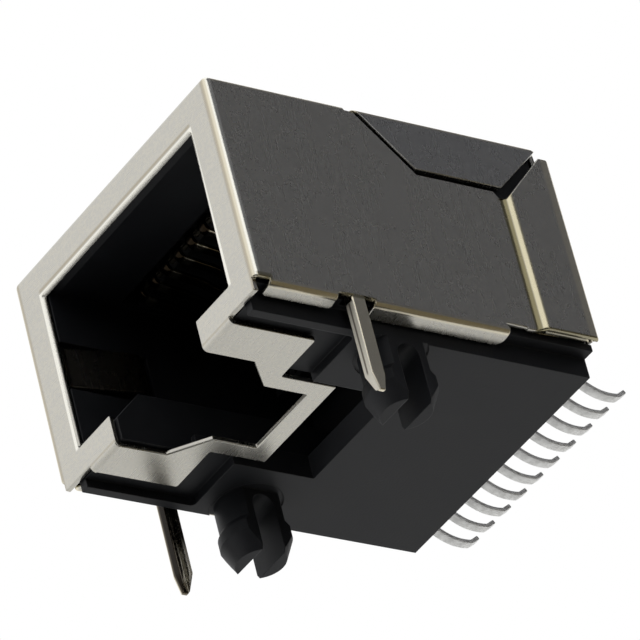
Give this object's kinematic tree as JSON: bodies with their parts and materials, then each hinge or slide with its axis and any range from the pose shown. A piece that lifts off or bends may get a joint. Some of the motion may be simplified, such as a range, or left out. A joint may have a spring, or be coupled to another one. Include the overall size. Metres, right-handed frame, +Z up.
{
  "type": "modular jack",
  "caption": "Shielded low-profile modular jack for surface mounting: folded metal shield, moulded housing with split board pegs, spring contacts with gull-wing tails.",
  "frame": {"origin": "on the board's surface, midway between the two board pegs", "axes": "+Z up from the board, +Y the way a plug goes in (towards the rear of the jack), +X to the right of someone who looks into the jack"},
  "size_m": [0.0164, 0.0206, 0.0154],
  "materials": {
    "shield_plating": "satin nickel plating over sheet brass",
    "housing_plastic": "fine moulded texture",
    "carrier_plastic": "fine moulded texture",
    "contact_plating": "gold on the springs, matte tin on the solder tails"
  },
  "bodies": {
    "root": {"shield": "shield_plating", "housing": "housing_plastic", "contact_carrier": "carrier_plastic", "contact_01": "contact_plating", "contact_02": "contact_plating", "contact_03": "contact_plating", "contact_04": "contact_plating", "contact_05": "contact_plating", "contact_06": "contact_plating", "contact_07": "contact_plating", "contact_08": "contact_plating", "contact_09": "contact_plating", "contact_10": "contact_plating"}
  },
  "joints": []
}
